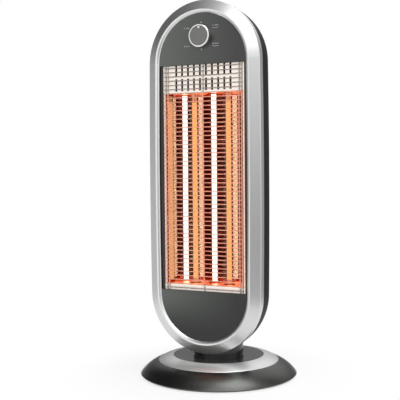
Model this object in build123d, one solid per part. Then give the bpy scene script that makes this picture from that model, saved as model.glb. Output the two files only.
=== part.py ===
from build123d import *
import os
from math import atan2, cos, degrees, hypot, pi, sin, sqrt

# Twin-tube carbon heater: an oval tower that swings on a round weighted base.
# Millimetres, +Z up. The window faces -Y, and the origin is the centre of the base's underside.

# Tower outline: two end arcs joined by long sides that bow out a little.
opening_half_width = 72.5      # inside edge of the silver trim, at mid height
opening_half_height = 243.6
side_bow = 1.3                 # the end arcs are this much tighter than the half width
tower_lift = 7.6               # the trim's lowest edge above the neck's foot

# Front faces, measured along Y from the turning axis.
panel_face_y = -50.7
panel_thickness = 2.0
panel_tuck = 3.0               # how far the panels reach under the trim's lip
panel_edge_chamfer = 0.5

# Silver trim ring, as offsets from its opening edge.
trim_lip = 0.5
trim_crest_offset = 5.4
trim_crest_rise = 3.0
trim_crest_radius = 1.2
trim_bevel_bulge = 0.9         # how far the inner bevel is rounded out
trim_shoulder_offset = 19.8
trim_shoulder_drop = 8.0
trim_side_depth = 10.7
trim_wall = 1.6
trim_edge_radius = 1.4

# Window in the front, between the two panels.
side_strip = 5.1               # dark frame that shows beside the window
panel_height = 75.0            # each panel, on the tower's middle line

# Front frame that carries panels, guard and reflector covers.
frame_thickness = 2.0
frame_trim_gap = 0.7
frame_skirt = 2.2
frame_depth = 8.7
frame_flange = 2.0

# Rear casing.
casing_trim_gap = 0.7
casing_front_gap = 1.3
casing_wall = 2.5
casing_back_y = 21.0
casing_back_radius = 38.0
vent_slot_half_length = 38.0
vent_slot_height = 3.2
vent_slot_pitch = 8.0
upper_vent_count = 9
lower_vent_count = 7
upper_vent_inset = 94.6        # middle of each group, in from the opening's ends
lower_vent_inset = 90.6

# Casing screws and their bosses.
boss_radius = 4.6
screw_radius = 1.5
screw_head_radius = 3.0
screw_head_height = 2.2
screw_recess_clearance = 0.4
screw_tip_gap = 1.0
boss_floor = 3.5
boss_side_offset = 5.0
boss_levels = (-120.0, 60.0)   # from the tower's mid height
boss_end_angle = 38.0

# Wire guard.
wire_radius = 0.7
wire_pitch = 6.35
wire_overlap = 1.2             # wires run this far past the outer rods
rod_radius = 1.0
rod_insets = (4.6, 8.6)        # side rods in from the window's edge
rod_overrun = 5.0
guard_gap = 0.02               # between the wires and what they lie against
rod_notch_clearance = 0.15

# Reflector: a bright sheet folded into two troughs, with covers above and below.
sheet = 0.6
sheet_gap = 0.2                # between sheets that lie on each other
crest_y = -29.4
inner_fold = (11.0, -10.4)     # between the crest and the valley, in X and Y
valley_x = 29.0
outer_fold = (37.4, 1.5)       # between the valley and the knee
knee = (55.7, -19.4)
trough_inset = 4.0             # trough edges in from the window's sides
flange_gap = 0.9               # flanges clear of the screw pads
shield_gap = 1.8               # the heat shield behind the troughs' valleys
shield_room = 3.0              # and in front of the casing's back wall
shield_side_gap = 4.0
shield_margin = 8.0
top_cover_height = 40.7        # shown in the window above the tubes
bottom_cover_height = 8.5
cover_reach = 7.0              # how far the covers' faces reach behind the panels
cover_slot_count = 10
cover_slot_pitch = 9.96
cover_slot_width = 3.2
cover_slot_height = 18.5
cover_slot_bridge = 3.8
cover_slot_foot = 2.5          # from the fold to the lower row of slots

# Heating tubes.
tube_x = 28.4
tube_y = -19.2
tube_radius = 9.0
tube_wall = 1.2
tube_overrun = 12.0            # beyond each cover
tube_hole_clearance = 0.5
element_radius = 4.2
element_top_margin = 13.0      # unlit length under the top cover
element_bottom_margin = 6.5
element_taper = 1.2
lead_radius = 0.9
cap_wall = 1.4
cap_length = 13.0
cap_socket = 5.0
cap_clearance = 0.1
cap_groove = 1.0
clip_thickness = 1.0
clip_half_width = 8.0
clip_fork_wall = 3.3
clip_fork_reach = 6.0          # the clip's leg behind its cap
clip_foot_length = 8.0

# Control knob and its switch.
knob_rise = 40.8               # knob's centre above the window
knob_radius = 16.6
knob_base_flare = 0.3
knob_depth = 9.0
knob_gap = 0.5                 # above the panel
knob_edge = 0.6
knob_rim_width = 1.9
knob_hub_radius = 6.6
knob_groove_width = 0.5
knob_face_recess = 0.35
knob_face_thickness = 3.0
knob_web = 2.0
pointer_length = 2.8
pointer_half_width = 2.3
pointer_inset = 1.2            # its base in from the groove
pointer_proud = 0.15
shaft_radius = 3.0
shaft_running = 0.06
shaft_hole_clearance = 1.5
shaft_end_gap = 1.0
switch_half_width = 15.0
switch_depth = 18.0
switch_floor = 4.0
switch_corner = 3.0
tab_count = 5
tab_pitch = 5.0
tab_width = 3.2
tab_length = 7.0
tab_thickness = 0.8

# Overheat cut-out on the chamber's lid.
thermostat_radius = 8.0
thermostat_height = 7.0
thermostat_y = 2.0
thermostat_edge = 1.0
thermostat_ear_reach = 12.0
thermostat_ear_width = 7.0
thermostat_ear_thickness = 1.0
thermostat_tab_x = 4.0
thermostat_tab_width = 4.0

# Terminal block on the casing's back wall.
block_rise = 44.5              # above the opening's lower end
block_width = 30.0
block_height = 14.0
block_depth = 12.0
block_ways = 3
block_wire_radius = 2.0
block_screw_radius = 1.6
block_groove = 1.2
block_groove_depth = 4.0

# Neck and swivel.
neck_radius = 38.4
neck_rise = 20.3               # top of the neck above the trim's lowest edge
neck_edge_radius = 5.0
neck_wall = 3.0
neck_saddle_gap = 0.2
neck_foot_inset = 1.8
neck_foot_height = 2.6
journal_inset = 2.6            # journal in from the neck's foot
journal_wall = 4.0
journal_running = 0.06
stub_y = -12.0                 # the stub stands forward, under the middle of the casing
stub_radius = 16.0
stub_wall = 3.0
stub_rise = 28.0               # above the casing's lowest point
bracket_thickness = 2.0
bracket_radius = 27.0
bracket_collar = 3.0
bracket_height = 6.0
bracket_drop = 1.5             # the bracket's top below the stub's end
swing_limit = 35.0             # degrees each way

# Round base.
base_radius = 120.0
base_foot_inset = 2.4
base_rim_z = 1.5
base_widest_z = 4.0
base_bulge = 2.6
base_wall = 2.5
base_trim_outer_radius = 92.4
base_trim_outer_z = 23.9
base_trim_inner_radius = 69.3
base_trim_inner_z = 31.8
base_trim_thickness = 1.5
disc_gap = 0.3
disc_thickness = 3.0
disc_drop = 0.3                # disc below the trim's inner edge
disc_edge = 0.5
disc_ledge = 7.0
hub_depth = 5.0
hub_wall = 4.0
washer_thickness = 0.6
washer_side_gap = 0.3
floor_gap = 0.4
plate_thickness = 2.0
plate_clearance = 0.3
floor_vent_x = 28.0
floor_vent_y = -30.0
floor_vent_count = 7
floor_vent_pitch = 6.0
floor_vent_length = 36.0
floor_vent_taper = 4.0         # each slot shorter than the one nearer the middle
floor_vent_width = 2.4

# Feet, ballast and base screws.
foot_count = 5
foot_start = 90.0              # degrees from +X
foot_inset = 22.0              # foot circle in from the base's widest edge
foot_radius = 8.0
foot_edge = 0.4
foot_stud_radius = 3.0
foot_stud_length = 4.0
stud_pocket_gap = 2.5
ballast_inner_radius = 66.0
ballast_inset = 14.0
ballast_height = 8.0
ballast_gap = 0.3
base_screw_count = 5
base_screw_start = 54.0        # degrees from +X
base_screw_inset = 9.0
base_screw_bite = 6.0
base_screw_clearance = 0.2
base_boss_radius = 3.6
hole_end_gap = 1.0

# Swing drive: a geared motor turns a crank whose pin runs in a radial slot of the swivel plate.
motor_y = 25.0
motor_radius = 24.0
motor_edge = 1.5
motor_ear = 8.0
motor_ear_width = 12.0
motor_ear_thickness = 2.0
motor_screw_head = 1.6
crank_margin = 2.2             # crank disc outside the pin
crank_thickness = 2.6
crank_gap = 0.6
crank_shaft_radius = 3.0
crank_shaft_depth = 8.0
crank_pin_radius = 2.0
crank_ratio = 3.0              # crank turn for each degree of swing
slot_side_gap = 1.0
swivel_thickness = 2.4
swivel_gap = 0.2
swivel_margin = 4.0
cable_hole_radius = 11.0
swivel_screw_count = 3
swivel_screw_start = -90.0
swivel_screw_bite = 5.0
small_head_radius = 2.4
swivel_head_height = 0.5

# Tip-over switch under the base.
plunger_x = -46.0
plunger_y = -14.0
plunger_radius = 4.0
plunger_clearance = 0.3
plunger_tip = 0.8
plunger_travel = 5.0
plunger_flange_radius = 6.2
plunger_flange_thickness = 1.5
guide_height = 3.0
guide_wall = 2.0
microswitch_gap = 0.3
microswitch_length = 20.0
microswitch_width = 10.0
microswitch_height = 9.0
bracket_sheet = 1.2
bracket_foot = 9.0

# Cord inlet at the back of the base.
inlet_z = 6.6
inlet_bore_radius = 3.3
inlet_body_radius = 4.6
inlet_flange_radius = 5.6
inlet_flange = 1.4
inlet_flange_edge = 0.8
inlet_length = 9.0
inlet_inset = 0.4              # the flange's face inside the base's widest edge
inlet_gap = 0.1

cut_past = 1.0                 # how far a cut runs beyond what it cuts

# Heights worked out from the sizes above, from the floor up.
plate_bottom_z = base_rim_z
plate_top_z = plate_bottom_z + plate_thickness
disc_top_z = base_trim_inner_z - disc_drop
disc_bottom_z = disc_top_z - disc_thickness
hub_bottom_z = disc_top_z - hub_depth
swivel_top_z = hub_bottom_z - swivel_gap
swivel_bottom_z = swivel_top_z - swivel_thickness
crank_top_z = swivel_bottom_z - crank_gap
crank_bottom_z = crank_top_z - crank_thickness
motor_top_z = crank_bottom_z - crank_gap
plunger_flange_z = plate_top_z + guide_height + plunger_travel
microswitch_z = plunger_flange_z + plunger_flange_thickness + microswitch_gap
neck_bottom_z = disc_top_z + washer_thickness
tower_bottom_z = neck_bottom_z + tower_lift
neck_top_z = tower_bottom_z + neck_rise
opening_bottom_z = tower_bottom_z + trim_shoulder_offset
tower_centre_z = opening_bottom_z + opening_half_height
opening_top_z = tower_centre_z + opening_half_height
window_top_z = opening_top_z - panel_height
window_bottom_z = opening_bottom_z + panel_height
chamber_top_z = window_top_z - top_cover_height
chamber_bottom_z = window_bottom_z + bottom_cover_height
knob_z = window_top_z + knob_rise

# Radii and widths.
base_foot_radius = base_radius - base_foot_inset
neck_foot_radius = neck_radius - neck_foot_inset
journal_radius = neck_foot_radius - journal_inset
cap_radius = tube_radius + cap_wall
pin_throw = motor_y * sin(swing_limit * pi / 180)
window_half_width = opening_half_width - side_strip
trough_edge_x = window_half_width - trough_inset
cover_half_width = opening_half_width + boss_side_offset - boss_radius - flange_gap

# Faces from front to back.
frame_face_y = panel_face_y + panel_thickness
frame_back_y = frame_face_y + frame_thickness
cover_face_y = frame_back_y + sheet_gap
flange_back_y = frame_face_y + frame_depth
knob_back_y = panel_face_y - knob_gap
knob_front_y = knob_back_y - knob_depth
knob_web_y = knob_front_y + knob_face_recess + knob_face_thickness
cover_back_y = casing_back_y - casing_wall - shield_room - sheet
valley_y = cover_back_y - shield_gap

# The trim ring's hollow, which the frame and the casing fit into.
trim_slope = trim_shoulder_drop / (trim_shoulder_offset - trim_crest_offset)
trim_crest_y = panel_face_y - trim_lip - trim_crest_rise
trim_inner_offset = trim_shoulder_offset - trim_wall
trim_inner_y = (
    trim_crest_y + (trim_inner_offset - trim_crest_offset) * trim_slope
    + trim_wall * sqrt(1 + trim_slope ** 2)
)
trim_back_y = trim_crest_y + trim_shoulder_drop + trim_side_depth
frame_offset = trim_inner_offset - (trim_inner_y - frame_face_y) / trim_slope - frame_trim_gap
casing_offset = trim_inner_offset - casing_trim_gap
casing_front_y = trim_inner_y + casing_front_gap
stub_top_z = opening_bottom_z - casing_offset + stub_rise


def end_centre():
    """Distance of the end arcs' centres from mid height."""
    return opening_half_height - (opening_half_width - side_bow)


def oval_arcs(offset):
    """The tower's outline grown by offset, as arcs in X and Z about the tower's centre."""
    end_radius = opening_half_width - side_bow
    rise = end_centre()
    side_radius = (opening_half_width ** 2 - end_radius ** 2 + rise ** 2) / (2 * side_bow)
    side_x = side_radius - opening_half_width
    turn = degrees(atan2(rise, side_x))
    return [
        CenterArc((-side_x, 0), side_radius + offset, 0, turn),
        CenterArc((0, rise), end_radius + offset, turn, 180 - 2 * turn),
        CenterArc((side_x, 0), side_radius + offset, 180 - turn, 2 * turn),
        CenterArc((0, -rise), end_radius + offset, 180 + turn, 180 - 2 * turn),
        CenterArc((-side_x, 0), side_radius + offset, -turn, turn),
    ]


def front_plane(y):
    """A plane that faces the front, with its origin at the tower's centre."""
    return Plane(origin=(0, y, tower_centre_z), x_dir=(1, 0, 0), z_dir=(0, -1, 0))


def oval_slab(offset, front_y, back_y):
    face = make_face(Wire(oval_arcs(offset)))
    return extrude(front_plane(back_y) * face, amount=back_y - front_y)


def block(x, y, z):
    """A box between two corners, given as three (low, high) pairs."""
    size = (x[1] - x[0], y[1] - y[0], z[1] - z[0])
    centre = ((x[0] + x[1]) / 2, (y[0] + y[1]) / 2, (z[0] + z[1]) / 2)
    return Pos(*centre) * Box(*size)


def upright(x, y, radius, low, high):
    """A cylinder along Z."""
    return Pos(x, y, (low + high) / 2) * Cylinder(radius, high - low)


def along_y(x, z, radius, low, high):
    """A cylinder along Y."""
    return Pos(x, (low + high) / 2, z) * Rot(90, 0, 0) * Cylinder(radius, high - low)


def drill(x, y, radius, low, high):
    """A cutter for a hole along Z right through what lies between low and high."""
    return upright(x, y, radius, low - cut_past, high + cut_past)


def drill_y(x, z, radius, low, high):
    return along_y(x, z, radius, low - cut_past, high + cut_past)


def turned(points):
    """A solid of revolution about Z from its (radius, height) outline."""
    return revolve(make_face(Polyline(*[(r, 0, z) for r, z in points], close=True)), Axis.Z)


def joined(lines):
    """One closed wire from lines, arcs and polylines given in order."""
    return Wire([edge for line in lines for edge in line.edges()])


def ring_of(count, circle, start):
    """Places evenly round a circle, from a start angle in degrees."""
    for i in range(count):
        angle = (start + 360.0 * i / count) * pi / 180
        yield circle * cos(angle), circle * sin(angle)


def folded_sheet(points, thickness):
    """Outline of a sheet that follows points, with its thickness on the left of the run."""
    normals = []
    for a, b in zip(points, points[1:]):
        length = hypot(b[0] - a[0], b[1] - a[1])
        normals.append(((a[1] - b[1]) / length, (b[0] - a[0]) / length))
    corners = [normals[0]]
    for m, n in zip(normals, normals[1:]):
        scale = 1 + m[0] * n[0] + m[1] * n[1]
        corners.append(((m[0] + n[0]) / scale, (m[1] + n[1]) / scale))
    corners.append(normals[-1])
    back = [(p[0] + thickness * c[0], p[1] + thickness * c[1]) for p, c in zip(points, corners)]
    return make_face(Polyline(*points, *reversed(back), close=True))


# Tower shells


def make_trim_ring():
    """The silver bezel: one section swept round the oval opening."""
    lip_y = panel_face_y - trim_lip
    seat_offset = trim_inner_offset - (trim_inner_y - panel_face_y) / trim_slope
    lip = Vector(0, lip_y)
    crest = Vector(trim_crest_offset, trim_crest_y)
    outward = Vector(crest.Y - lip.Y, lip.X - crest.X).normalized()
    bevel = ThreePointArc(lip, (lip + crest) / 2 + outward * trim_bevel_bulge, crest)
    rest = Polyline(
        crest, (trim_shoulder_offset, trim_crest_y + trim_shoulder_drop),
        (trim_shoulder_offset, trim_back_y), (trim_inner_offset, trim_back_y),
        (trim_inner_offset, trim_inner_y), (seat_offset, panel_face_y), (0, panel_face_y), lip,
    )
    section = Pos(opening_half_width, 0, 0) * make_face(joined([bevel, rest]))
    section = fillet(section.vertices().sort_by(Axis.Y)[0], trim_crest_radius)
    outer_corner = section.vertices().sort_by(Axis.X)[-2:].sort_by(Axis.Y)[0]
    section = fillet(outer_corner, trim_edge_radius)
    path = front_plane(0) * Wire(oval_arcs(0))
    return sweep(Pos(0, 0, tower_centre_z) * section, path=path)


def make_panel(upper):
    """The dark plate above or below the window."""
    plate = oval_slab(panel_tuck, panel_face_y, frame_face_y)
    reach = opening_half_width + opening_half_height
    if upper:
        keep = block((-reach, reach), (-reach, reach), (window_top_z, window_top_z + 2 * reach))
        edge_z = window_top_z
    else:
        keep = block((-reach, reach), (-reach, reach), (window_bottom_z - 2 * reach, window_bottom_z))
        edge_z = window_bottom_z
    plate = plate & keep
    edge = (
        plate.edges()
        .filter_by(Axis.X)
        .sort_by(lambda e: abs(e.center().Z - edge_z) + abs(e.center().Y - panel_face_y))[0]
    )
    plate = chamfer(edge, panel_edge_chamfer)
    if upper:
        plate -= drill_y(0, knob_z, shaft_radius + shaft_hole_clearance, panel_face_y, frame_face_y)
    return plate


def rod_places():
    """Across the guard: one rod in the middle and a close pair at each side."""
    sides = [window_half_width - inset for inset in rod_insets]
    return [-x for x in sides] + [0.0] + sides


def boss_places():
    """Casing screws: along both sides and round the two ends, as (x, z)."""
    places = []
    side = opening_half_width + boss_side_offset
    for level in boss_levels:
        places += [(-side, tower_centre_z + level), (side, tower_centre_z + level)]
    end = opening_half_width - side_bow + boss_side_offset
    for sign in (-1, 1):
        for turn in (-boss_end_angle, boss_end_angle):
            angle = turn * pi / 180
            x = end * sin(angle)
            z = tower_centre_z + sign * (end_centre() + end * cos(angle))
            places.append((x, z))
    return places


def make_front_frame():
    """Dark moulded frame: face plate with the window, a skirt, and a flange for the casing screws."""
    flange_front_y = flange_back_y - frame_flange
    inside = frame_offset - frame_skirt
    frame = oval_slab(frame_offset, frame_face_y, flange_back_y)
    frame -= oval_slab(inside, frame_back_y, flange_back_y + cut_past)
    flange = oval_slab(casing_offset - casing_wall - sheet_gap, flange_front_y, flange_back_y)
    frame += flange - oval_slab(inside, flange_front_y - cut_past, flange_back_y + cut_past)
    cut_y = (frame_face_y - cut_past, frame_back_y + cut_past)
    frame -= block((-window_half_width, window_half_width), cut_y, (window_bottom_z, window_top_z))
    half = rod_radius + rod_notch_clearance
    notch_top = window_top_z + rod_overrun + rod_notch_clearance
    notch_bottom = window_bottom_z - rod_overrun - rod_notch_clearance
    for x in rod_places():
        frame -= block((x - half, x + half), cut_y, (notch_bottom, notch_top))
    frame -= drill_y(0, knob_z, shaft_radius + shaft_hole_clearance, frame_face_y, frame_back_y)
    for x, z in boss_places():
        pad = along_y(x, z, boss_radius, frame_back_y, flange_back_y)
        pad -= along_y(x, z, screw_radius, frame_back_y, flange_back_y + cut_past)
        frame += pad
    return frame


def casing_body(offset, back_y, back_radius):
    """The casing's outline with its rounded back edge."""
    body = oval_slab(offset, casing_front_y, back_y)
    back_edges = body.faces().sort_by(Axis.Y)[-1].edges()
    return fillet(back_edges, back_radius)


def vent_slots(centre_z, count):
    slots = Part()
    outline = SlotOverall(2 * vent_slot_half_length, vent_slot_height)
    for i in range(count):
        z = centre_z + (i - (count - 1) / 2) * vent_slot_pitch
        plane = Plane(origin=(0, casing_back_y + cut_past, z), x_dir=(1, 0, 0), z_dir=(0, -1, 0))
        slots += extrude(plane * outline, amount=casing_wall + 2 * cut_past)
    return slots


def make_rear_casing():
    """Dark back shell with screw bosses, air slots and the hole for the neck's stub."""
    outer = casing_body(casing_offset, casing_back_y, casing_back_radius)
    inner = casing_body(
        casing_offset - casing_wall, casing_back_y - casing_wall, casing_back_radius - casing_wall
    )
    casing = outer - inner
    seat_y = flange_back_y + boss_floor
    head_hole = screw_head_radius + screw_recess_clearance
    shank_hole = screw_radius + screw_recess_clearance
    for x, z in boss_places():
        casing += along_y(x, z, boss_radius, flange_back_y, casing_back_y) & outer
        casing -= along_y(x, z, head_hole, seat_y, casing_back_y + cut_past)
        casing -= drill_y(x, z, shank_hole, flange_back_y, seat_y)
    casing -= vent_slots(opening_top_z - upper_vent_inset, upper_vent_count)
    casing -= vent_slots(opening_bottom_z + lower_vent_inset, lower_vent_count)
    casing -= upright(0, stub_y, stub_radius + neck_saddle_gap, 0, stub_top_z)
    return casing


def make_casing_screws():
    screws = []
    seat_y = flange_back_y + boss_floor
    for x, z in boss_places():
        head = along_y(x, z, screw_head_radius, seat_y, seat_y + screw_head_height)
        shank = along_y(x, z, screw_radius, frame_back_y + screw_tip_gap, seat_y)
        screws.append(head + shank)
    return Compound(children=screws)


# Guard and heating chamber


def make_guard_wires():
    y = frame_face_y - guard_gap - wire_radius
    length = 2 * (max(rod_places()) + wire_overlap)
    count = int((window_top_z - window_bottom_z) / wire_pitch)
    wires = []
    for i in range(count):
        z = tower_centre_z + (i - (count - 1) / 2) * wire_pitch
        wires.append(Pos(0, y, z) * Rot(0, 90, 0) * Cylinder(wire_radius, length))
    return Compound(children=wires)


def make_guard_rods():
    y = frame_face_y + rod_radius
    low = window_bottom_z - rod_overrun
    high = window_top_z + rod_overrun
    return Compound(children=[upright(x, y, rod_radius, low, high) for x in rod_places()])


def trough_points():
    """The bright side of the folded reflector, from the left edge to the right, in X and Y."""
    half = [
        inner_fold,
        (valley_x, valley_y),
        outer_fold,
        knee,
        (trough_edge_x, cover_face_y),
        (cover_half_width, cover_face_y),
    ]
    return [(-x, y) for x, y in reversed(half)] + [(0, crest_y)] + half


def make_reflector():
    low = chamber_bottom_z + sheet_gap
    high = chamber_top_z - sheet_gap
    return extrude(Pos(0, 0, low) * folded_sheet(trough_points(), sheet), amount=high - low)


def tube_holes(low, high):
    radius = tube_radius + tube_hole_clearance
    return drill(-tube_x, tube_y, radius, low, high) + drill(tube_x, tube_y, radius, low, high)


def make_top_cover():
    """Slotted bright plate over the tubes, folded back into the chamber's lid."""
    face_y = (cover_face_y, cover_face_y + sheet)
    face = block(
        (-cover_half_width, cover_half_width), face_y, (chamber_top_z, window_top_z + cover_reach)
    )
    lid = block(
        (-trough_edge_x, trough_edge_x), (cover_face_y, cover_back_y),
        (chamber_top_z, chamber_top_z + sheet),
    )
    cover = face + lid
    cut_y = (cover_face_y - cut_past, cover_face_y + sheet + cut_past)
    for row in range(2):
        low = chamber_top_z + cover_slot_foot + row * (cover_slot_height + cover_slot_bridge)
        for i in range(cover_slot_count):
            x = (i - (cover_slot_count - 1) / 2) * cover_slot_pitch
            side = (x - cover_slot_width / 2, x + cover_slot_width / 2)
            cover -= block(side, cut_y, (low, low + cover_slot_height))
    return cover - tube_holes(chamber_top_z, chamber_top_z + sheet)


def make_bottom_cover():
    """Bright lip below the tubes, folded back into the chamber's floor."""
    face = block(
        (-cover_half_width, cover_half_width), (cover_face_y, cover_face_y + sheet),
        (window_bottom_z - cover_reach, chamber_bottom_z),
    )
    floor = block(
        (-trough_edge_x, trough_edge_x), (cover_face_y, cover_back_y),
        (chamber_bottom_z - sheet, chamber_bottom_z),
    )
    return face + floor - tube_holes(chamber_bottom_z - sheet, chamber_bottom_z)


def make_heat_shield():
    """Plain sheet behind the troughs that keeps the casing cool."""
    half = trough_edge_x - shield_side_gap
    return block(
        (-half, half), (cover_back_y, cover_back_y + sheet),
        (chamber_bottom_z - shield_margin, chamber_top_z + shield_margin),
    )


def make_quartz_tube(x):
    low = chamber_bottom_z - tube_overrun
    high = chamber_top_z + tube_overrun
    return upright(x, tube_y, tube_radius, low, high) - drill(x, tube_y, tube_radius - tube_wall, low, high)


def make_carbon_element(x):
    """The glowing rod with a thin lead at each end."""
    rod = upright(
        x, tube_y, element_radius,
        chamber_bottom_z + element_bottom_margin, chamber_top_z - element_top_margin,
    )
    rod = chamfer(rod.edges(), element_taper)
    lead_reach = tube_overrun - cap_clearance
    return rod + upright(
        x, tube_y, lead_radius, chamber_bottom_z - lead_reach, chamber_top_z + lead_reach
    )


def tube_ends():
    """Each tube end as its X, its height, and +1 or -1 for the way out of the tube."""
    for x in (-tube_x, tube_x):
        yield x, chamber_top_z + tube_overrun, 1
        yield x, chamber_bottom_z - tube_overrun, -1


def clip_groove_z(end_z, out):
    """Middle of the groove in the cap's solid part, beyond the end of the tube."""
    return end_z + out * (cap_length - cap_socket) / 2


def make_end_caps():
    """Ceramic caps on both ends of both tubes, each with a groove for its clip."""
    caps = []
    half = clip_thickness / 2 + cap_clearance
    for x, end_z, out in tube_ends():
        mouth_z = end_z - out * cap_socket
        low, high = sorted((mouth_z, mouth_z + out * cap_length))
        cap = upright(x, tube_y, cap_radius, low, high)
        low, high = sorted((mouth_z - out * cut_past, end_z))
        cap -= upright(x, tube_y, tube_radius + cap_clearance, low, high)
        z = clip_groove_z(end_z, out)
        groove = upright(x, tube_y, cap_radius + cut_past, z - half, z + half)
        caps.append(cap - (groove - upright(x, tube_y, cap_radius - cap_groove, z - half, z + half)))
    return Compound(children=caps)


def make_tube_clips():
    """Spring steel forks that hold the caps by their grooves and stand on the chamber's covers."""
    clips = []
    inner = cap_radius - cap_groove + cap_clearance
    fork_half = inner + clip_fork_wall
    back_y = tube_y + cap_radius + clip_fork_reach
    half = clip_thickness / 2
    for x, end_z, out in tube_ends():
        z = clip_groove_z(end_z, out)
        seat_z = chamber_top_z + sheet if out > 0 else chamber_bottom_z - sheet
        fork = block((x - fork_half, x + fork_half), (tube_y, back_y), (z - half, z + half))
        fork -= drill(x, tube_y, inner, z - half, z + half)
        side = (x - clip_half_width, x + clip_half_width)
        leg = block(side, (back_y - clip_thickness, back_y), sorted((seat_z, z + out * half)))
        foot_y = (back_y - clip_thickness, back_y - clip_thickness + clip_foot_length)
        foot = block(side, foot_y, sorted((seat_z, seat_z + out * clip_thickness)))
        clips.append(fork + leg + foot)
    return Compound(children=clips)


# Controls and small parts


def make_rotary_switch():
    """Six-position switch behind the front frame, with its row of tabs."""
    back_y = frame_back_y + switch_depth
    body = block(
        (-switch_half_width, switch_half_width), (frame_back_y, back_y),
        (knob_z - switch_half_width, knob_z + switch_half_width),
    )
    body = fillet(body.edges().filter_by(Axis.Y), switch_corner)
    for i in range(tab_count):
        x = (i - (tab_count - 1) / 2) * tab_pitch
        body += block(
            (x - tab_width / 2, x + tab_width / 2), (back_y, back_y + tab_length),
            (knob_z - tab_thickness / 2, knob_z + tab_thickness / 2),
        )
    bore = shaft_radius + shaft_running
    return body - along_y(0, knob_z, bore, frame_back_y - cut_past, back_y - switch_floor)


def make_thermostat():
    """Round bimetal cut-out with two ears and two tabs."""
    low = chamber_top_z + sheet
    top = low + thermostat_height
    body = upright(0, thermostat_y, thermostat_radius, low, top)
    body = fillet(body.edges().sort_by(Axis.Z)[-1], thermostat_edge)
    ear_y = (thermostat_y - thermostat_ear_width / 2, thermostat_y + thermostat_ear_width / 2)
    ear = block(
        (-thermostat_ear_reach, thermostat_ear_reach), ear_y, (low, low + thermostat_ear_thickness)
    )
    body += fillet(ear.edges().filter_by(Axis.Z), thermostat_ear_width * 0.4)
    tab_y = (thermostat_y - thermostat_tab_width / 2, thermostat_y + thermostat_tab_width / 2)
    for x in (-thermostat_tab_x, thermostat_tab_x):
        side = (x - tab_thickness / 2, x + tab_thickness / 2)
        body += block(side, tab_y, (top - thermostat_edge, top + tab_length - thermostat_edge))
    return body


def make_terminal_block():
    """Wire connector with a row of ways, seated on the casing's back wall."""
    z = opening_bottom_z + block_rise
    back_y = casing_back_y - casing_wall
    front_y = back_y - block_depth
    low, high = z - block_height / 2, z + block_height / 2
    body = block((-block_width / 2, block_width / 2), (front_y, back_y), (low, high))
    pitch = block_width / block_ways
    for i in range(block_ways):
        x = (i - (block_ways - 1) / 2) * pitch
        body -= along_y(x, z, block_screw_radius, front_y - cut_past, front_y + block_depth / 2)
        body -= upright(x, front_y + block_depth / 2, block_wire_radius, low - cut_past, z)
    for i in range(block_ways - 1):
        x = (i - (block_ways - 2) / 2) * pitch
        body -= block(
            (x - block_groove / 2, x + block_groove / 2),
            (front_y - cut_past, front_y + block_groove_depth),
            (low - cut_past, high + cut_past),
        )
    return body


def make_knob_rim():
    """Silver knob body: a flared cup with a thin rim and a hub for its shaft."""
    web_top = knob_back_y - knob_web_y
    web_low = web_top - knob_web
    inner = knob_radius - knob_rim_width
    base = knob_radius + knob_base_flare
    cup = turned([
        (0, 0), (knob_hub_radius, 0), (knob_hub_radius, web_low), (base - knob_rim_width, web_low),
        (base - knob_rim_width, 0), (base, 0), (knob_radius, knob_depth - knob_edge),
        (knob_radius - knob_edge, knob_depth), (inner, knob_depth), (inner, web_top), (0, web_top),
    ])
    cup -= upright(0, 0, shaft_radius, -cut_past, web_top - knob_web / 2)
    return Pos(0, knob_back_y, knob_z) * Rot(90, 0, 0) * cup


def make_knob_face():
    """Grey disc let into the knob, with a fine groove round it."""
    radius = knob_radius - knob_rim_width
    front_y = knob_front_y + knob_face_recess
    disc = along_y(0, knob_z, radius, front_y, knob_web_y)
    groove = along_y(0, knob_z, radius + cut_past, front_y - cut_past, front_y + knob_groove_width)
    groove -= drill_y(0, knob_z, radius - knob_groove_width, front_y - cut_past, front_y + cut_past)
    return disc - groove


def make_knob_pointer():
    """Raised triangle at the top of the knob's face, its tip towards the middle."""
    top_z = knob_z + knob_radius - knob_rim_width - knob_groove_width - pointer_inset
    plane = Plane(origin=(0, knob_front_y + knob_face_recess, 0), x_dir=(1, 0, 0), z_dir=(0, -1, 0))
    outline = Polyline(
        (-pointer_half_width, top_z), (0, top_z - pointer_length), (pointer_half_width, top_z), close=True
    )
    return extrude(plane * make_face(outline), amount=pointer_proud)


def make_knob_shaft():
    tip_y = frame_back_y + switch_depth - switch_floor - shaft_end_gap
    return along_y(0, knob_z, shaft_radius, knob_web_y + knob_web / 2, tip_y)


# Neck and swivel


def tower_envelope(gap):
    """Outside of the casing and the trim, grown by gap, for shaping the neck's saddle."""
    body = casing_body(casing_offset + gap, casing_back_y + gap, casing_back_radius)
    return body + oval_slab(trim_shoulder_offset + gap, trim_crest_y - neck_radius, trim_back_y + gap)


def swivel_screw_places():
    return ring_of(swivel_screw_count, journal_radius - journal_wall / 2, swivel_screw_start)


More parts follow.
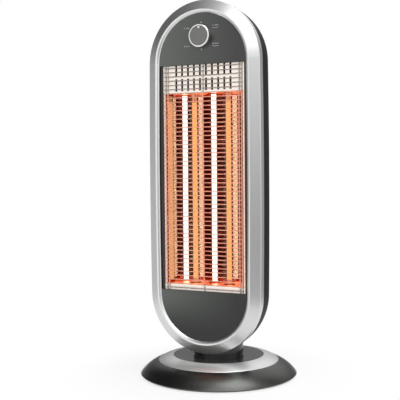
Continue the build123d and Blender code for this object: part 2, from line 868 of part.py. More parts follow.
def make_neck():
    """Column whose top is shaped to the tower's underside, on a journal that turns in the base."""
    web_z = neck_bottom_z + neck_foot_height
    column = upright(0, 0, neck_radius, web_z, neck_top_z)
    column = fillet(column.edges().sort_by(Axis.Z)[-1], neck_edge_radius)
    column += upright(0, 0, neck_foot_radius, neck_bottom_z, web_z)
    column -= upright(0, 0, neck_radius - neck_wall, web_z, neck_top_z - neck_wall)
    column -= tower_envelope(neck_saddle_gap)
    journal = upright(0, 0, journal_radius, swivel_top_z, neck_bottom_z)
    journal -= drill(0, 0, journal_radius - journal_wall, swivel_top_z, neck_bottom_z)
    neck = column + journal + upright(0, stub_y, stub_radius, neck_bottom_z, stub_top_z)
    neck -= drill(0, stub_y, stub_radius - stub_wall, neck_bottom_z, stub_top_z)
    for x, y in swivel_screw_places():
        neck -= upright(x, y, screw_radius, swivel_top_z - cut_past, swivel_top_z + swivel_screw_bite)
    return neck


def make_swivel_plate():
    """Plate under the base top that holds the neck down, with the crank pin's slot."""
    far = motor_y + pin_throw
    near_turn = crank_ratio * swing_limit * pi / 180
    near = hypot(motor_y + pin_throw * cos(near_turn), pin_throw * sin(near_turn))
    half = crank_pin_radius + slot_side_gap
    plate = upright(0, 0, far + half + swivel_margin, swivel_bottom_z, swivel_top_z)
    plate -= drill(0, 0, cable_hole_radius, swivel_bottom_z, swivel_top_z)
    slot = Pos(0, (far + near) / 2, swivel_bottom_z - cut_past) * SlotOverall(
        far - near + 2 * half, 2 * half, rotation=90
    )
    plate -= extrude(slot, amount=swivel_thickness + 2 * cut_past)
    for x, y in swivel_screw_places():
        plate -= drill(x, y, screw_radius, swivel_bottom_z, swivel_top_z)
    return plate


def make_swivel_screws():
    screws = []
    for x, y in swivel_screw_places():
        head = upright(x, y, small_head_radius, swivel_bottom_z - swivel_head_height, swivel_bottom_z)
        shank = upright(x, y, screw_radius, swivel_bottom_z, swivel_top_z + swivel_screw_bite)
        screws.append(head + shank)
    return Compound(children=screws)


def make_neck_bracket():
    """Steel ring inside the casing that clamps the neck's stub."""
    inset = casing_wall + neck_saddle_gap
    inside = casing_body(casing_offset - inset, casing_back_y - inset, casing_back_radius - inset)
    high = stub_top_z - bracket_drop
    low = high - bracket_height
    plate = upright(0, stub_y, bracket_radius, low, low + bracket_thickness)
    collar = upright(0, stub_y, stub_radius + bracket_collar, low, high)
    return ((plate + collar) & inside) - drill(0, stub_y, stub_radius + shaft_running, low, high)


# Base


def dome_arc_point():
    """The point half way up the base's side, pushed out by the bulge."""
    dr = base_radius - base_trim_outer_radius
    dz = base_trim_outer_z - base_widest_z
    length = hypot(dr, dz)
    mid_r = (base_radius + base_trim_outer_radius) / 2 + base_bulge * dz / length
    mid_z = (base_trim_outer_z + base_widest_z) / 2 + base_bulge * dr / length
    return mid_r, mid_z


def make_base_shell():
    """Domed shell with a sloped seat for the trim ring and a ledge for the disc."""
    mid_r, mid_z = dome_arc_point()
    slope = (base_trim_inner_z - base_trim_outer_z) / (base_trim_outer_radius - base_trim_inner_radius)
    seat_outer_z = base_trim_outer_z - base_trim_thickness
    ledge_r = base_trim_inner_radius + base_wall
    seat_inner_z = seat_outer_z + (base_trim_outer_radius - ledge_r) * slope
    ledge_inner_r = base_trim_inner_radius - disc_ledge
    under_z = disc_bottom_z - base_wall
    inner_r = base_radius - base_wall
    wall_shift = base_wall / sqrt(2)
    outline = [
        Line((base_foot_radius, base_rim_z), (base_radius, base_widest_z)),
        ThreePointArc(
            (base_radius, base_widest_z), (mid_r, mid_z), (base_trim_outer_radius, base_trim_outer_z)
        ),
        Polyline(
            (base_trim_outer_radius, base_trim_outer_z), (base_trim_outer_radius, seat_outer_z),
            (ledge_r, seat_inner_z), (ledge_r, disc_bottom_z), (ledge_inner_r, disc_bottom_z),
            (ledge_inner_r, under_z), (ledge_r + base_wall, under_z),
            (base_trim_outer_radius, seat_outer_z - base_wall),
        ),
        ThreePointArc(
            (base_trim_outer_radius, seat_outer_z - base_wall),
            (mid_r - wall_shift, mid_z - wall_shift), (inner_r, base_widest_z),
        ),
        Polyline(
            (inner_r, base_widest_z), (base_foot_radius - base_wall, base_rim_z),
            (base_foot_radius, base_rim_z),
        ),
    ]
    shell = revolve(make_face(Plane.XZ * joined(outline)), Axis.Z)
    fill = revolve(make_face(Plane.XZ * dome_fill()), Axis.Z)
    hole_top = plate_top_z + base_screw_bite + hole_end_gap
    for x, y in base_screw_places():
        shell += upright(x, y, base_boss_radius, plate_top_z, base_trim_outer_z) & fill
        shell -= upright(x, y, screw_radius, plate_top_z - cut_past, hole_top)
    flange_y = base_radius - inlet_inset - inlet_flange
    shell -= along_y(0, inlet_z, inlet_body_radius, flange_y - inlet_length, base_radius)
    shell -= along_y(0, inlet_z, inlet_flange_radius + inlet_gap, flange_y, base_radius + cut_past)
    return shell


def dome_fill():
    """Outline of the space under the dome's outer face."""
    mid_r, mid_z = dome_arc_point()
    return joined([
        Polyline((0, base_rim_z), (base_foot_radius, base_rim_z), (base_radius, base_widest_z)),
        ThreePointArc(
            (base_radius, base_widest_z), (mid_r, mid_z), (base_trim_outer_radius, base_trim_outer_z)
        ),
        Polyline((base_trim_outer_radius, base_trim_outer_z), (0, base_trim_outer_z), (0, base_rim_z)),
    ])


def make_base_trim_ring():
    """Silver ring that slopes from the dome up to the disc."""
    return turned([
        (base_trim_outer_radius, base_trim_outer_z),
        (base_trim_inner_radius, base_trim_inner_z),
        (base_trim_inner_radius, base_trim_inner_z - base_trim_thickness),
        (base_trim_outer_radius, base_trim_outer_z - base_trim_thickness),
    ])


def make_base_disc():
    """Dark plate in the middle of the base, with the hub that the neck turns in."""
    outer = base_trim_inner_radius - disc_gap
    bore = journal_radius + journal_running
    return turned([
        (bore, hub_bottom_z), (bore + hub_wall, hub_bottom_z), (bore + hub_wall, disc_bottom_z),
        (outer, disc_bottom_z), (outer, disc_top_z - disc_edge), (outer - disc_edge, disc_top_z),
        (bore, disc_top_z),
    ])


def make_thrust_washer():
    """Slippery ring that the neck's foot turns on."""
    outer = neck_foot_radius - washer_side_gap
    inner = journal_radius + washer_side_gap
    return upright(0, 0, outer, disc_top_z, neck_bottom_z) - drill(0, 0, inner, disc_top_z, neck_bottom_z)


def foot_places():
    return ring_of(foot_count, base_radius - foot_inset, foot_start)


def base_screw_places():
    return ring_of(base_screw_count, base_radius - base_screw_inset, base_screw_start)


def motor_screw_places():
    reach = motor_radius + motor_ear / 2
    return ((-reach, motor_y), (reach, motor_y))


def make_bottom_plate():
    """Floor of the base, with the plunger's guide, air slots and holes for what screws to it."""
    outer = base_foot_radius - base_wall - plate_clearance
    guide_top_z = plate_top_z + guide_height
    guide_radius = plunger_radius + plunger_clearance
    plate = upright(0, 0, outer, plate_bottom_z, plate_top_z)
    plate += upright(plunger_x, plunger_y, guide_radius + guide_wall, plate_bottom_z, guide_top_z)
    plate -= drill(plunger_x, plunger_y, guide_radius, plate_bottom_z, guide_top_z)
    for x, y in foot_places():
        plate -= drill(x, y, foot_stud_radius, plate_bottom_z, plate_top_z)
    for x, y in base_screw_places():
        plate -= drill(x, y, screw_radius + base_screw_clearance, plate_bottom_z, plate_top_z)
    for x, y in motor_screw_places():
        plate -= drill(x, y, screw_radius, plate_bottom_z, plate_top_z)
    for i in range(floor_vent_count):
        row = i - (floor_vent_count - 1) / 2
        outline = SlotOverall(floor_vent_length - floor_vent_taper * abs(row), floor_vent_width)
        place = Pos(floor_vent_x, floor_vent_y + row * floor_vent_pitch, plate_bottom_z - cut_past)
        plate -= extrude(place * outline, amount=plate_thickness + 2 * cut_past)
    return plate - along_y(0, inlet_z, inlet_body_radius + inlet_gap, base_radius / 2, base_radius)


def make_ballast():
    """Heavy ring on the floor of the base, with pockets over the feet's studs."""
    low = plate_top_z + ballast_gap
    high = low + ballast_height
    ring = upright(0, 0, base_radius - ballast_inset, low, high)
    ring -= drill(0, 0, ballast_inner_radius, low, high)
    pocket_z = plate_bottom_z + foot_stud_length + stud_pocket_gap
    for x, y in foot_places():
        ring -= upright(x, y, foot_stud_radius + stud_pocket_gap, low - cut_past, pocket_z)
    return ring


def make_rubber_feet():
    feet = []
    for x, y in foot_places():
        pad = upright(x, y, foot_radius, 0, plate_bottom_z)
        pad = chamfer(pad.edges().sort_by(Axis.Z)[0], foot_edge)
        stud = upright(x, y, foot_stud_radius, plate_bottom_z, plate_bottom_z + foot_stud_length)
        feet.append(pad + stud)
    return Compound(children=feet)


def make_base_screws():
    screws = []
    for x, y in base_screw_places():
        head = upright(x, y, screw_head_radius, floor_gap, plate_bottom_z)
        shank = upright(x, y, screw_radius, plate_bottom_z, plate_top_z + base_screw_bite)
        screws.append(head + shank)
    return Compound(children=screws)


def make_motor():
    """Flat geared motor on the bottom plate, with two ears and a bearing for the crank."""
    can = upright(0, motor_y, motor_radius, plate_top_z, motor_top_z)
    can = fillet(can.edges().sort_by(Axis.Z)[-1], motor_edge)
    ear_top_z = plate_top_z + motor_ear_thickness
    reach = motor_radius + motor_ear
    ear_y = (motor_y - motor_ear_width / 2, motor_y + motor_ear_width / 2)
    ears = block((-reach, reach), ear_y, (plate_top_z, ear_top_z))
    motor = can + fillet(ears.edges().filter_by(Axis.Z), motor_ear / 2)
    for x, y in motor_screw_places():
        motor -= drill(x, y, screw_radius, plate_top_z, ear_top_z)
    bore = crank_shaft_radius + shaft_running
    bore_low_z = motor_top_z - crank_shaft_depth - hole_end_gap
    return motor - upright(0, motor_y, bore, bore_low_z, motor_top_z + cut_past)


def make_motor_screws():
    screws = []
    head_z = plate_top_z + motor_ear_thickness
    for x, y in motor_screw_places():
        head = upright(x, y, small_head_radius, head_z, head_z + motor_screw_head)
        screws.append(head + upright(x, y, screw_radius, plate_bottom_z, head_z))
    return Compound(children=screws)


def make_motor_crank():
    """Disc on the motor's shaft, with the pin that works in the swivel plate's slot."""
    radius = pin_throw + crank_pin_radius + crank_margin
    crank = upright(0, motor_y, radius, crank_bottom_z, crank_top_z)
    crank += upright(0, motor_y, crank_shaft_radius, motor_top_z - crank_shaft_depth, crank_bottom_z)
    return crank + upright(0, motor_y + pin_throw, crank_pin_radius, crank_top_z, swivel_top_z)


def make_plunger():
    """Pin that the floor holds up and that drops when the heater is lifted or tips."""
    pin = upright(plunger_x, plunger_y, plunger_radius, 0, plunger_flange_z)
    pin = fillet(pin.edges().sort_by(Axis.Z)[0], plunger_tip)
    return pin + upright(
        plunger_x, plunger_y, plunger_flange_radius,
        plunger_flange_z, plunger_flange_z + plunger_flange_thickness,
    )


def make_tip_over_switch():
    """Small switch on a bracket over the plunger."""
    side = (plunger_x - microswitch_width / 2, plunger_x + microswitch_width / 2)
    bracket_y = plunger_y + microswitch_length / 2
    top_z = microswitch_z + microswitch_height
    body = block(side, (plunger_y - microswitch_length / 2, bracket_y), (microswitch_z, top_z))
    leg = block(side, (bracket_y, bracket_y + bracket_sheet), (plate_top_z, top_z))
    foot = block(side, (bracket_y, bracket_y + bracket_foot), (plate_top_z, plate_top_z + bracket_sheet))
    return body + leg + foot


def make_cord_gland():
    """Bushing in the back of the base where the mains lead goes in."""
    face_y = base_radius - inlet_inset
    flange_y = face_y - inlet_flange
    flange = along_y(0, inlet_z, inlet_flange_radius, flange_y, face_y)
    flange = fillet(flange.edges().sort_by(Axis.Y)[-1], inlet_flange_edge)
    gland = flange + along_y(0, inlet_z, inlet_body_radius, flange_y - inlet_length, flange_y)
    return gland - drill_y(0, inlet_z, inlet_bore_radius, flange_y - inlet_length, face_y)


pieces = {
    "base_shell": make_base_shell(),
    "base_trim_ring": make_base_trim_ring(),
    "base_top_disc": make_base_disc(),
    "base_bottom_plate": make_bottom_plate(),
    "ballast_ring": make_ballast(),
    "rubber_feet": make_rubber_feet(),
    "base_screws": make_base_screws(),
    "cord_gland": make_cord_gland(),
    "thrust_washer": make_thrust_washer(),
    "oscillation_motor": make_motor(),
    "motor_screws": make_motor_screws(),
    "motor_crank": make_motor_crank(),
    "tip_over_switch": make_tip_over_switch(),
    "tip_over_plunger": make_plunger(),
    "neck": make_neck(),
    "swivel_plate": make_swivel_plate(),
    "swivel_screws": make_swivel_screws(),
    "neck_bracket": make_neck_bracket(),
    "rear_casing": make_rear_casing(),
    "casing_screws": make_casing_screws(),
    "trim_ring": make_trim_ring(),
    "upper_panel": make_panel(True),
    "lower_panel": make_panel(False),
    "front_frame": make_front_frame(),
    "guard_wires": make_guard_wires(),
    "guard_rods": make_guard_rods(),
    "reflector": make_reflector(),
    "reflector_top_cover": make_top_cover(),
    "reflector_bottom_cover": make_bottom_cover(),
    "heat_shield": make_heat_shield(),
    "quartz_tube_left": make_quartz_tube(-tube_x),
    "quartz_tube_right": make_quartz_tube(tube_x),
    "carbon_element_left": make_carbon_element(-tube_x),
    "carbon_element_right": make_carbon_element(tube_x),
    "tube_end_caps": make_end_caps(),
    "tube_clips": make_tube_clips(),
    "rotary_switch": make_rotary_switch(),
    "overheat_thermostat": make_thermostat(),
    "terminal_block": make_terminal_block(),
    "knob_rim": make_knob_rim(),
    "knob_face": make_knob_face(),
    "knob_pointer": make_knob_pointer(),
    "knob_shaft": make_knob_shaft(),
}

os.makedirs("parts", exist_ok=True)
for name, piece in pieces.items():
    export_step(piece, os.path.join("parts", name + ".step"))
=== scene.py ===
from math import cos, pi, radians, sin

import bmesh
import bpy
from mathutils import Matrix, Vector


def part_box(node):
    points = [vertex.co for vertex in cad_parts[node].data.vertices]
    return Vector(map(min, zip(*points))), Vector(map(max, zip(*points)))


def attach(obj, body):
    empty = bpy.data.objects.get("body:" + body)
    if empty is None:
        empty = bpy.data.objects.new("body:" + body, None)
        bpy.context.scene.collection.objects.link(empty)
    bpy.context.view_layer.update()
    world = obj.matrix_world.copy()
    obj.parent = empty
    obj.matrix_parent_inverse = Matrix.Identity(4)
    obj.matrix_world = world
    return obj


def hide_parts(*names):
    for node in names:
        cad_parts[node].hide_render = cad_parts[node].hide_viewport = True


# A twin-tube carbon heater: its finishes, its fine pieces, and the studio that it stands in.
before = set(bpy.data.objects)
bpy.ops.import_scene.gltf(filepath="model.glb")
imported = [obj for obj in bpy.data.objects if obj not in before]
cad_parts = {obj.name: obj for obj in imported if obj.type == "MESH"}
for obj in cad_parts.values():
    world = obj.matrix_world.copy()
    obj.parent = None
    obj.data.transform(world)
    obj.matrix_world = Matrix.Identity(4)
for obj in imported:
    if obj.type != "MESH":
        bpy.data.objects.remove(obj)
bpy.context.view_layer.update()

MM = 0.001

# Camera: where it stands, and how it is turned.
camera_place = Vector((0.5798, -1.2037, 0.3264))
camera_heading = 26.87       # degrees, from +Y towards -X
camera_pitch = 2.45          # degrees down
camera_roll = 0.47
focal_pixels = 870.68        # for a picture 400 pixels wide
picture_width = 400
sensor_width = 36.0

# Studio: the level where no soft light reaches, and each soft light by where it is centred and
# how far it reaches, in degrees. Azimuth 0 is straight in front of the heater, and 90 is on its
# right as seen from above. A later light covers the ones before it.
studio_base = 0.25
softboxes = (
    # azimuth, half width, edge; elevation, half height, edge; brightness
    (0, 180, 1, -66, 36, 8, 1.00),
    (88, 32, 8, 0, 46, 12, 1.25),
    (28, 28, 10, 46, 34, 21, 1.90),
    (46, 12, 8, -8, 10, 8, 0.04),
    (-16, 30, 8, 0, 26, 8, 1.25),
    (-82, 26, 8, -16, 20, 14, 0.72),
    (-95, 44, 10, 40, 24, 10, 0.05),
    (150, 14, 8, -4, 14, 8, 0.36),
    (60, 120, 40, 84, 14, 8, 1.15),
    (-172, 40, 14, 40, 18, 12, 1.15),
)
dark_room = (0.05, 0.012, 0.008, 1.0)   # what the reflector's mirror shows of the room

# Soft lamps, all aimed at the middle of the heater: name, place, size in metres, watts.
lamp_aim = Vector((0, 0, 0.28))
lamps = (
    ("lamp_key", (0.78, -0.14, 1.95), 1.1, 15.0),
    ("lamp_fill", (0.28, -1.55, 1.45), 1.0, 4.0),
)

# Floor: round and white, with a light shadow that fades out between two distances.
floor_radius = 0.55
floor_drop = 0.2 * MM        # below the feet
shadow_start, shadow_end = 0.125, 0.26
shadow_share = 0.22

# Glow of the tubes, as linear light: what it throws on other things, its sheen in quartz and
# steel, and its image in the reflector, once and twice mirrored.
spread_light = (6.5, 1.3, 0.5, 1.0)
sheen_light = (6.0, 2.2, 1.0, 1.0)
mirror_light = (5.0, 9.5, 11.0, 1.0)
twice_light = (5.4, 16.5, 18.0, 1.0)

# The reflector's polished sheet: what it sends back, what its wings send back near their front edge,
# painted darker as shade on the tubes' image, and a painted dull glow for the tubes' scattered light.
mirror_share = (0.45, 0.20, 0.15, 1.0)
wing_share = (0.18, 0.045, 0.0145, 1.0)
painted_mirror_glow = (0.012, 0.0008, 0.0005, 1.0)

# The heating chamber: its floor and lid, and the lit stretch of the elements between them.
chamber_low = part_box("reflector")[0].z
chamber_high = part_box("reflector")[1].z
lit_low = chamber_low + 6.5 * MM
lit_high = chamber_high - 13 * MM
cover_face_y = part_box("reflector_top_cover")[0].y
trough_edge_x = 63.4 * MM        # where the reflector's wings end in its flanges
wing_front_x = 58.9 * MM         # where the wings' mirror is painted darker, from here out and forward
wing_front_y = -30.5 * MM

# Screws: node, body, where their heads face, radius of the head, its height.
screw_groups = (
    ("casing_screws", "tower", Vector((0, 1, 0)), 3.0 * MM, 2.2 * MM),
    ("base_screws", "root", Vector((0, 0, -1)), 3.0 * MM, 1.1 * MM),
    ("motor_screws", "root", Vector((0, 0, 1)), 2.4 * MM, 1.6 * MM),
)
shank_radius = 1.5 * MM


class Tree:
    """Builds the nodes of a material or of the world."""

    def __init__(self, block):
        block.use_nodes = True
        self.tree = block.node_tree
        self.tree.nodes.clear()

    def add(self, kind, inputs=None, **settings):
        """A new node, whose inputs are values or links from other nodes."""
        made = self.tree.nodes.new("ShaderNode" + kind)
        for key, value in settings.items():
            setattr(made, key, value)
        for key, value in (inputs or {}).items():
            if isinstance(value, bpy.types.NodeSocket):
                self.tree.links.new(value, made.inputs[key])
            else:
                made.inputs[key].default_value = value
        return made

    def maths(self, operation, *values):
        return self.add("Math", dict(enumerate(values)), operation=operation).outputs[0]

    def product(self, first, second):
        return self.maths("MULTIPLY", first, second)

    def over(self, value, limit):
        """1 where the value is over the limit, and 0 elsewhere."""
        return self.maths("GREATER_THAN", value, limit)

    def under(self, value, limit):
        """1 where the value is under the limit, and 0 elsewhere."""
        return self.maths("LESS_THAN", value, limit)

    def ramp(self, value, start, end, low=0.0, high=1.0, smooth=True):
        """Low up to start, high from end on, and between them a slope."""
        kind = "SMOOTHSTEP" if smooth else "LINEAR"
        inputs = {"Value": value, "From Min": start, "From Max": end, "To Min": low, "To Max": high}
        return self.add("MapRange", inputs, interpolation_type=kind).outputs["Result"]

    def blend(self, share, first, second):
        """A colour between two colours."""
        inputs = {0: share, 6: first, 7: second}
        return self.add("Mix", inputs, data_type="RGBA").outputs[2]

    def level_between(self, share, first, second):
        """A number between two numbers."""
        inputs = {0: share, 2: first, 3: second}
        return self.add("Mix", inputs, data_type="FLOAT").outputs[0]

    def overlay(self, share, first, second):
        """A shader between two shaders' nodes."""
        return self.add("MixShader", {0: share, 1: first.outputs[0], 2: second.outputs[0]})

    def place(self, stretch=(1.0, 1.0, 1.0)):
        """The point on the piece, in metres, which stays with the piece when it moves."""
        point = self.add("TexCoord").outputs["Object"]
        return self.add("Mapping", {"Vector": point, "Scale": stretch}).outputs["Vector"]

    def coordinates(self):
        """The X, Y and Z of the point on the piece."""
        return self.add("SeparateXYZ", {0: self.place()}).outputs

    def noise(self, size, detail=2.0, stretch=(1.0, 1.0, 1.0)):
        """Noise from about 0 to 1, with features of the given size in metres."""
        inputs = {"Vector": self.place(stretch), "Scale": 1 / size, "Detail": detail}
        made = self.add("TexNoise", inputs)
        return self.ramp(made.outputs[0], 0.3, 0.7, smooth=False)

    def bump(self, height, depth):
        """Relief of the given depth, in metres."""
        return self.add("Bump", {"Height": height, "Distance": depth, "Strength": 1.0}).outputs["Normal"]

    def surface(self, shader):
        """Ends the material with a shader's node."""
        self.add("OutputMaterial", {"Surface": shader.outputs[0]})


def colour(red, green, blue):
    return (red, green, blue, 1.0)


def scaled(tint, share):
    return (tint[0] * share, tint[1] * share, tint[2] * share, 1.0)


def new_material(name):
    material = bpy.data.materials.new(name)
    return material, Tree(material)


def fine_surface(name, tint, rough, metal=0.0, grain=0.0004, shade=0.08, depth=4e-6, coat=0.0):
    """A moulded, painted or rolled surface with a fine grain in its colour, gloss and relief."""
    cloud_size, cloud_share = 0.04, 0.4
    rough_change = 0.04
    material, tree = new_material(name)
    grains = tree.noise(grain)
    clouds = tree.noise(cloud_size, detail=3.0)
    fine = tree.product(grains, 1 - cloud_share)
    mixed = tree.maths("MULTIPLY_ADD", clouds, cloud_share, fine)
    tree.surface(tree.add("BsdfPrincipled", {
        "Base Color": tree.blend(mixed, scaled(tint, 1 - shade), scaled(tint, 1 + shade)),
        "Metallic": metal,
        "Roughness": tree.ramp(mixed, 0.0, 1.0, rough - rough_change, rough + rough_change),
        "Coat Weight": coat,
        "Coat Roughness": 0.08,
        "Normal": tree.bump(grains, depth),
    }))
    return material


def silver_lacquer(name, metal, rough):
    """Silver lacquer: an even, broad sheen with very fine flakes."""
    material, tree = new_material(name)
    flakes = tree.noise(0.00035)
    tree.surface(tree.add("BsdfPrincipled", {
        "Base Color": tree.blend(flakes, colour(0.66, 0.668, 0.662), colour(0.70, 0.708, 0.702)),
        "Metallic": metal,
        "Roughness": rough,
        "Normal": tree.bump(flakes, 1.5e-6),
    }))
    return material


def silver_paint():
    return silver_lacquer("silver_paint", 0.93, 0.33)


def base_silver_paint():
    return silver_lacquer("base_silver_paint", 0.74, 0.40)


def dark_pearl_paint():
    """The panels: dark grey lacquer with a little metal in it, with painted light that makes them paler
    to the left and upwards.
    """
    dark_side, pale_side = 55 * MM, -75 * MM
    lower_panel_start, lower_panel_end = 70 * MM, 130 * MM
    between_panels = 300 * MM
    lower_share, upper_share, flake_share = 0.9, 0.72, 0.12
    material, tree = new_material("panel_plastic")
    flakes = tree.noise(0.0004)
    point = tree.coordinates()
    # Painted light: the panels are paler to the left and upwards, as the light falls on them.
    across = tree.ramp(point["X"], dark_side, pale_side, smooth=False)
    lower = tree.ramp(point["Z"], lower_panel_start, lower_panel_end)
    upper = tree.over(point["Z"], between_panels)
    painted_light_rise = tree.maths("MAXIMUM", tree.product(lower, lower_share), tree.product(upper, upper_share))
    deep = tree.blend(upper, colour(0.026, 0.027, 0.026), colour(0.045, 0.046, 0.045))
    dark = tree.blend(tree.product(across, painted_light_rise), deep, colour(0.115, 0.125, 0.115))
    tree.surface(tree.add("BsdfPrincipled", {
        "Base Color": tree.blend(tree.product(flakes, flake_share), dark, colour(0.2, 0.2, 0.2)),
        "Metallic": 0.7,
        "Roughness": 0.34,
        "Normal": tree.bump(flakes, 3e-6),
    }))
    return material


def base_paint():
    return fine_surface("base_plastic", colour(0.082, 0.084, 0.080), 0.29, metal=0.95, shade=0.10)


def disc_plastic():
    return fine_surface(
        "disc_plastic", colour(0.045, 0.043, 0.040), 0.20, metal=0.3, shade=0.06, coat=0.4
    )


def neck_plastic():
    return fine_surface("neck_plastic", colour(0.010, 0.010, 0.010), 0.14, shade=0.06, depth=1e-6)


def casing_plastic():
    """Dark plastic with the fine grain of an etched mould."""
    tint = colour(0.007, 0.0073, 0.007)
    cell_size, cell_share = 0.0009, 0.7
    material, tree = new_material("casing_plastic")
    inputs = {"Vector": tree.place(), "Scale": 1 / cell_size, "Randomness": 1.0}
    cells = tree.add("TexVoronoi", inputs).outputs["Distance"]
    pits = tree.maths("MULTIPLY_ADD", cells, cell_share, tree.noise(0.0005))
    clouds = tree.noise(0.06, detail=3.0)
    tree.surface(tree.add("BsdfPrincipled", {
        "Base Color": tree.blend(clouds, scaled(tint, 0.9), scaled(tint, 1.12)),
        "Roughness": tree.ramp(clouds, 0.0, 1.0, 0.50, 0.58),
        "Specular IOR Level": 0.24,
        "Normal": tree.bump(pits, 2.2e-5),
    }))
    return material


def frame_plastic():
    return fine_surface("frame_plastic", colour(0.012, 0.010, 0.009), 0.38, shade=0.1, depth=6e-6)


def glow_lit_wire(name, paler):
    """Drawn wire, with painted light where it crosses the heating chamber: a straw and pink tint and a
    faint red glow for the tubes' light on it.
    """
    outside, inside_lid, inside_floor = 4 * MM, 6 * MM, 4 * MM
    material, tree = new_material(name)
    height = tree.coordinates()["Z"]
    top = tree.ramp(height, chamber_high + outside, chamber_high - inside_lid)
    foot = tree.ramp(height, chamber_low - outside, chamber_low + inside_floor)
    painted_glow = tree.product(top, foot)
    lines = tree.noise(0.0005, stretch=(0.15, 1.0, 0.15))
    clouds = tree.noise(0.012, detail=3.0)
    dull, bright = scaled((0.34, 0.32, 0.30), paler), scaled((0.46, 0.43, 0.40), paler)
    own_tint = tree.blend(lines, dull, bright)
    # Painted light: the tubes' warm light on the wire, as a tint here and a glow below.
    glow_lit_tint = tree.blend(clouds, colour(0.62, 0.36, 0.28), colour(0.80, 0.51, 0.40))
    tree.surface(tree.add("BsdfPrincipled", {
        "Base Color": tree.blend(painted_glow, own_tint, glow_lit_tint),
        "Metallic": 1.0,
        "Roughness": tree.ramp(lines, 0.0, 1.0, 0.26, 0.34),
        "Normal": tree.bump(lines, 2e-6),
        "Emission Color": tree.blend(clouds, colour(0.11, 0.010, 0.003), colour(0.19, 0.024, 0.008)),
        "Emission Strength": painted_glow,
    }))
    return material


def guard_steel():
    return glow_lit_wire("guard_steel", 1.0)


def guard_rod_steel():
    return glow_lit_wire("guard_rod_steel", 1.7)


def tinted_mirror():
    """The reflector: a polished sheet, coppery from the heat, with satin flanges, its wings painted
    darker to shade the tubes' image, and a painted glow.
    """
    half_fade = 0.3 * MM             # over which the wings grow darker
    half_painted_fade = 2 * MM            # over which the wings' upper ends are painted darker
    painted_fade_share, grain_share = 0.45, 0.12
    wing_x = wing_front_x - 1 * MM
    flange_x = trough_edge_x - 0.2 * MM
    material, tree = new_material("bright_metal")
    point = tree.coordinates()
    side = tree.maths("ABSOLUTE", point["X"])
    grains = tree.noise(0.0006, stretch=(1.0, 1.0, 0.04))
    clouds = tree.noise(0.02, detail=3.0)
    # Painted shade on the tubes' image: the wings are darker near their front edge, and darker still
    # above the lit stretch.
    front = tree.ramp(point["Y"], wing_front_y + half_fade, wing_front_y - half_fade)
    wing = tree.product(front, tree.over(side, wing_x))
    painted_fade = tree.ramp(point["Z"], lit_high - half_painted_fade, lit_high + half_painted_fade)
    wing_tint = tree.blend(painted_fade, wing_share, scaled(wing_share, painted_fade_share))
    tint = tree.blend(wing, mirror_share, wing_tint)
    tint = tree.blend(grains, tint, tree.blend(grain_share, tint, colour(0, 0, 0)))
    flat = tree.add("NewGeometry").outputs["True Normal"]
    mirror = tree.add("BsdfGlossy", {"Color": tint, "Roughness": 0.0, "Normal": flat})
    # Painted glow: a dull red light on the sheet, for the tubes' light scattered in the chamber.
    painted_haze = tree.add("Emission", {
        "Color": tree.blend(clouds, scaled(painted_mirror_glow, 0.6), scaled(painted_mirror_glow, 1.5)),
        "Strength": 1.0,
    })
    polished = tree.add("AddShader", {0: mirror.outputs[0], 1: painted_haze.outputs[0]})
    satin = tree.add("BsdfPrincipled", {
        "Base Color": tree.blend(clouds, colour(0.88, 0.68, 0.52), colour(0.95, 0.78, 0.62)),
        "Metallic": 1.0,
        "Roughness": 0.34,
        "Normal": tree.bump(grains, 2e-6),
    })
    tree.surface(tree.overlay(tree.over(side, flange_x), polished, satin))
    return material


def cover_metal():
    """Satin sheet with the fine lines of the rolling, with a painted red tint and glow inside the
    heating chamber for the tubes' light on it.
    """
    glow_zone_y = cover_face_y + 0.65 * MM     # just behind the sheet's front face
    past_ends = 0.4 * MM
    material, tree = new_material("cover_metal")
    lines = tree.noise(0.0004, stretch=(0.08, 1.0, 1.0))
    clouds = tree.noise(0.009, detail=4.0)
    point = tree.coordinates()
    inside = tree.over(point["Y"], glow_zone_y)
    under_lid = tree.under(point["Z"], chamber_high + past_ends)
    over_floor = tree.over(point["Z"], chamber_low - past_ends)
    painted_glow_zone = tree.product(inside, tree.product(under_lid, over_floor))
    own_tint = tree.blend(lines, colour(0.90, 0.82, 0.74), colour(0.98, 0.90, 0.82))
    # Painted light: the tubes' red light on the sheet inside the chamber, as a tint and a glow.
    glow_lit_tint = tree.blend(clouds, colour(0.62, 0.20, 0.09), colour(0.85, 0.40, 0.22))
    tree.surface(tree.add("BsdfPrincipled", {
        "Base Color": tree.blend(painted_glow_zone, own_tint, glow_lit_tint),
        "Metallic": 0.75,
        "Roughness": tree.ramp(lines, 0.0, 1.0, 0.32, 0.40),
        "Normal": tree.bump(lines, 2e-6),
        "Emission Color": tree.blend(clouds, colour(0.45, 0.035, 0.010), colour(1.0, 0.22, 0.07)),
        "Emission Strength": painted_glow_zone,
    }))
    return material


def quartz():
    """Clear quartz with a thin gloss."""
    most_gloss = 0.05
    material, tree = new_material("quartz")
    clear = tree.add("BsdfTransparent", {"Color": colour(0.985, 0.98, 0.975)})
    gloss = tree.add("BsdfGlossy", {"Color": colour(1.0, 1.0, 1.0), "Roughness": 0.04})
    share = tree.add("Fresnel", {"IOR": 1.46}).outputs[0]
    share = tree.product(share, tree.ramp(tree.noise(0.004), 0.0, 1.0, 0.30, 0.36))
    share = tree.maths("MINIMUM", share, most_gloss)
    tree.surface(tree.overlay(share, clear, gloss))
    return material


def inside_chamber(tree):
    """1 between the chamber's floor and its lid, and 0 past them."""
    height = tree.coordinates()["Z"]
    return tree.product(tree.over(height, chamber_low), tree.under(height, chamber_high))


